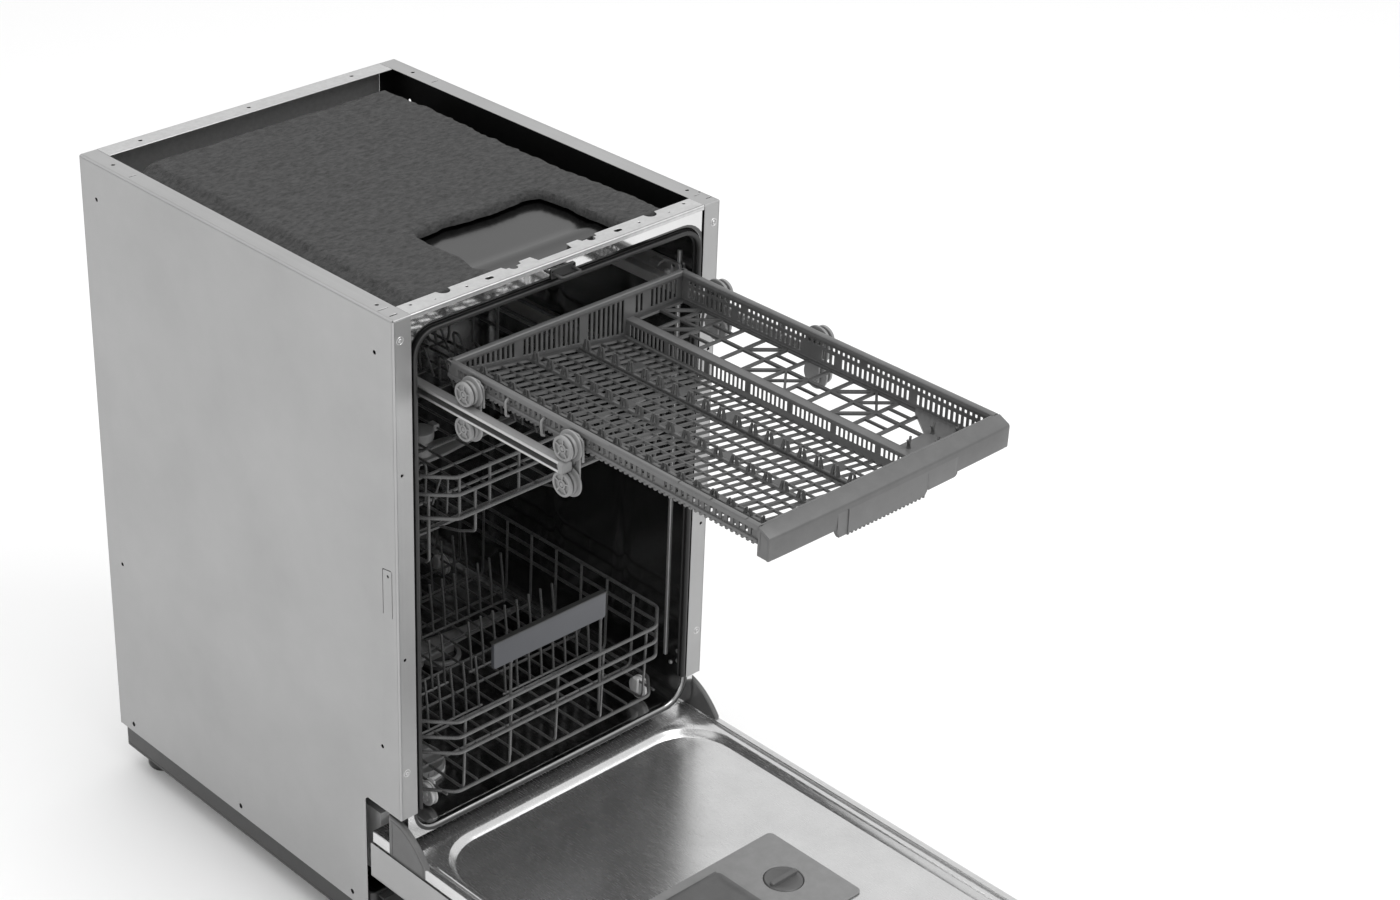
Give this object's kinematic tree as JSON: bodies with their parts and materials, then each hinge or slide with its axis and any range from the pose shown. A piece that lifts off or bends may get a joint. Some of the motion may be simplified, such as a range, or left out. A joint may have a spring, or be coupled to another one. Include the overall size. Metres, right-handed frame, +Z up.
{
  "type": "built-in dishwasher",
  "caption": "Slimline built-in dishwasher with its door open flat, a pulled-out cutlery tray on rails, and wire baskets inside a stainless tub.",
  "frame": {"origin": "on the floor, below the middle of the machine with its door open", "axes": "+X to the right of someone facing the machine, +Y from the front into the machine, +Z up"},
  "size_m": [0.448, 1.191, 0.815],
  "materials": {
    "side_panel_steel": "plain grey coated sheet, fine grain",
    "galvanised_steel": "zinc-coated sheet with a soft spangle",
    "stainless_steel": "polished stainless sheet",
    "rubber_seal": "matt black",
    "bitumen_felt": "coarse heavy felt mat",
    "black_plastic": "fine moulded grain",
    "dark_plastic": "dark grey moulding, fine grain",
    "grey_plastic": "light grey moulding",
    "white_plastic": "off-white moulding",
    "coated_wire": "nylon-coated grey wire",
    "handle_plastic": "blue-grey moulding",
    "weight_iron": "rough painted casting",
    "display_glass": "dark gloss window"
  },
  "bodies": {
    "cabinet": {"base_tray": "black_plastic", "left_side_panel": "side_panel_steel", "right_side_panel": "side_panel_steel", "rear_panel": "galvanised_steel", "front_crossbar": "galvanised_steel", "kick_plate": "black_plastic", "left_front_foot": "black_plastic", "right_front_foot": "black_plastic", "left_rear_foot": "black_plastic", "right_rear_foot": "black_plastic", "counterweight": "weight_iron", "tub": "stainless_steel", "tub_gasket": "rubber_seal", "insulation_blanket": "bitumen_felt", "sump": "black_plastic", "filter_plate": "stainless_steel", "circulation_pump": "black_plastic", "drain_pump": "black_plastic", "softener_tank": "white_plastic", "air_break": "white_plastic", "inlet_valve": "white_plastic", "feed_column": "grey_plastic", "lock_strike": "stainless_steel", "left_rail_guide": "stainless_steel", "right_rail_guide": "stainless_steel"},
    "filter": {"filter_cylinder": "grey_plastic"},
    "salt_lid": {"salt_cap": "grey_plastic"},
    "ceiling_arm": {"ceiling_spray_arm": "grey_plastic"},
    "lower_arm": {"lower_spray_arm": "grey_plastic"},
    "door": {"door_outer_panel": "galvanised_steel", "door_inner_liner": "stainless_steel", "control_fascia": "black_plastic", "display_window": "display_glass", "dispenser_housing": "grey_plastic", "left_hinge_cover": "dark_plastic", "right_hinge_cover": "dark_plastic"},
    "power_key": {"power_button": "dark_plastic"},
    "start_key": {"start_button": "dark_plastic"},
    "program_key": {"program_button": "dark_plastic"},
    "detergent_flap": {"detergent_lid": "dark_plastic"},
    "rinse_cap": {"rinse_aid_cap": "dark_plastic"},
    "tray": {"cutlery_tray": "dark_plastic", "tray_handle": "dark_plastic", "left_tray_bracket": "grey_plastic", "right_tray_bracket": "grey_plastic"},
    "left_rail_bar": {"left_rail": "stainless_steel"},
    "right_rail_bar": {"right_rail": "stainless_steel"},
    "upper_rack": {"upper_basket": "coated_wire"},
    "upper_arm": {"upper_spray_arm": "grey_plastic"},
    "lower_rack": {"lower_basket": "coated_wire", "lower_basket_handle": "handle_plastic"},
    "left_rear_upper_wheel": {"left_rear_upper_roller": "grey_plastic"},
    "left_rear_lower_wheel": {"left_rear_lower_roller": "grey_plastic"},
    "left_front_upper_wheel": {"left_front_upper_roller": "grey_plastic"},
    "left_front_lower_wheel": {"left_front_lower_roller": "grey_plastic"},
    "right_rear_upper_wheel": {"right_rear_upper_roller": "grey_plastic"},
    "right_rear_lower_wheel": {"right_rear_lower_roller": "grey_plastic"},
    "right_front_upper_wheel": {"right_front_upper_roller": "grey_plastic"},
    "right_front_lower_wheel": {"right_front_lower_roller": "grey_plastic"}
  },
  "joints": [
    {"name": "door_hinge", "type": "hinge", "parent": "cabinet", "child": "door", "pos_m": [0, 0.0415, 0.171], "axis": [-1, 0, 0], "range_deg": [0, 90]},
    {"name": "tray_slide", "type": "slide", "parent": "cabinet", "child": "tray", "axis": [0, 1, 0], "range_m": [0, 0.475]},
    {"name": "left_rail_slide", "type": "slide", "parent": "cabinet", "child": "left_rail_bar", "axis": [0, 1, 0], "range_m": [0, 0.21]},
    {"name": "right_rail_slide", "type": "slide", "parent": "cabinet", "child": "right_rail_bar", "axis": [0, 1, 0], "range_m": [0, 0.21]},
    {"name": "upper_rack_slide", "type": "slide", "parent": "cabinet", "child": "upper_rack", "axis": [0, 1, 0], "range_m": [-0.38, 0.015]},
    {"name": "lower_rack_slide", "type": "slide", "parent": "cabinet", "child": "lower_rack", "axis": [0, 1, 0], "range_m": [-0.45, 0.015]},
    {"name": "lower_arm_spin", "type": "hinge", "parent": "cabinet", "child": "lower_arm", "pos_m": [0, 0.3005, 0.205], "axis": [0, 0, 1], "continuous": true},
    {"name": "ceiling_arm_spin", "type": "hinge", "parent": "cabinet", "child": "ceiling_arm", "pos_m": [0, 0.2805, 0.768], "axis": [0, 0, 1], "continuous": true},
    {"name": "upper_arm_spin", "type": "hinge", "parent": "upper_rack", "child": "upper_arm", "pos_m": [0, 0.2805, 0.486], "axis": [0, 0, 1], "continuous": true},
    {"name": "filter_twist", "type": "hinge", "parent": "cabinet", "child": "filter", "pos_m": [0.042, 0.3005, 0.19], "axis": [0, 0, 1], "range_deg": [0, 90]},
    {"name": "salt_cap_twist", "type": "hinge", "parent": "cabinet", "child": "salt_lid", "pos_m": [-0.122, 0.1415, 0.2], "axis": [0, 0, 1], "range_deg": [0, 120]},
    {"name": "detergent_lid_hinge", "type": "hinge", "parent": "door", "child": "detergent_flap", "pos_m": [-0.04, -0.1895, 0.1676], "axis": [-1, 0, 0], "range_deg": [0, 90]},
    {"name": "rinse_cap_twist", "type": "hinge", "parent": "door", "child": "rinse_cap", "pos_m": [0.066, -0.2435, 0.165], "axis": [0, 0, 1], "range_deg": [0, 90]},
    {"name": "power_press", "type": "slide", "parent": "door", "child": "power_key", "axis": [0, 1, 0], "range_m": [0, 0.0015], "stiffness_N_per_m": 400},
    {"name": "start_press", "type": "slide", "parent": "door", "child": "start_key", "axis": [0, 1, 0], "range_m": [0, 0.0015], "stiffness_N_per_m": 400},
    {"name": "program_press", "type": "slide", "parent": "door", "child": "program_key", "axis": [0, 1, 0], "range_m": [0, 0.0015], "stiffness_N_per_m": 400},
    {"name": "left_rear_upper_spin", "type": "hinge", "parent": "tray", "child": "left_rear_upper_wheel", "pos_m": [-0.1745, -0.0085, 0.7413], "axis": [1, 0, 0], "continuous": true},
    {"name": "left_rear_lower_spin", "type": "hinge", "parent": "tray", "child": "left_rear_lower_wheel", "pos_m": [-0.1745, -0.0085, 0.7027], "axis": [1, 0, 0], "continuous": true},
    {"name": "left_front_upper_spin", "type": "hinge", "parent": "tray", "child": "left_front_upper_wheel", "pos_m": [-0.1745, -0.1525, 0.7413], "axis": [1, 0, 0], "continuous": true},
    {"name": "left_front_lower_spin", "type": "hinge", "parent": "tray", "child": "left_front_lower_wheel", "pos_m": [-0.1745, -0.1525, 0.7027], "axis": [1, 0, 0], "continuous": true},
    {"name": "right_rear_upper_spin", "type": "hinge", "parent": "tray", "child": "right_rear_upper_wheel", "pos_m": [0.1745, -0.0085, 0.7413], "axis": [1, 0, 0], "continuous": true},
    {"name": "right_rear_lower_spin", "type": "hinge", "parent": "tray", "child": "right_rear_lower_wheel", "pos_m": [0.1745, -0.0085, 0.7027], "axis": [1, 0, 0], "continuous": true},
    {"name": "right_front_upper_spin", "type": "hinge", "parent": "tray", "child": "right_front_upper_wheel", "pos_m": [0.1745, -0.1525, 0.7413], "axis": [1, 0, 0], "continuous": true},
    {"name": "right_front_lower_spin", "type": "hinge", "parent": "tray", "child": "right_front_lower_wheel", "pos_m": [0.1745, -0.1525, 0.7027], "axis": [1, 0, 0], "continuous": true}
  ],
  "couplings": [
    {"joint": "tray_slide", "follows": "door_hinge", "m_per_rad": 0.2992},
    {"joint": "left_rail_slide", "follows": "door_hinge", "m_per_rad": 0.1324},
    {"joint": "right_rail_slide", "follows": "door_hinge", "m_per_rad": 0.1324},
    {"joint": "upper_rack_slide", "follows": "door_hinge", "m_per_rad": 0.00891},
    {"joint": "lower_rack_slide", "follows": "door_hinge", "m_per_rad": 0.00891},
    {"joint": "left_rear_upper_spin", "follows": "door_hinge", "ratio": -12.541},
    {"joint": "left_rear_lower_spin", "follows": "door_hinge", "ratio": 12.541},
    {"joint": "left_front_upper_spin", "follows": "door_hinge", "ratio": -12.541},
    {"joint": "left_front_lower_spin", "follows": "door_hinge", "ratio": 12.541},
    {"joint": "right_rear_upper_spin", "follows": "door_hinge", "ratio": -12.541},
    {"joint": "right_rear_lower_spin", "follows": "door_hinge", "ratio": 12.541},
    {"joint": "right_front_upper_spin", "follows": "door_hinge", "ratio": -12.541},
    {"joint": "right_front_lower_spin", "follows": "door_hinge", "ratio": 12.541}
  ]
}
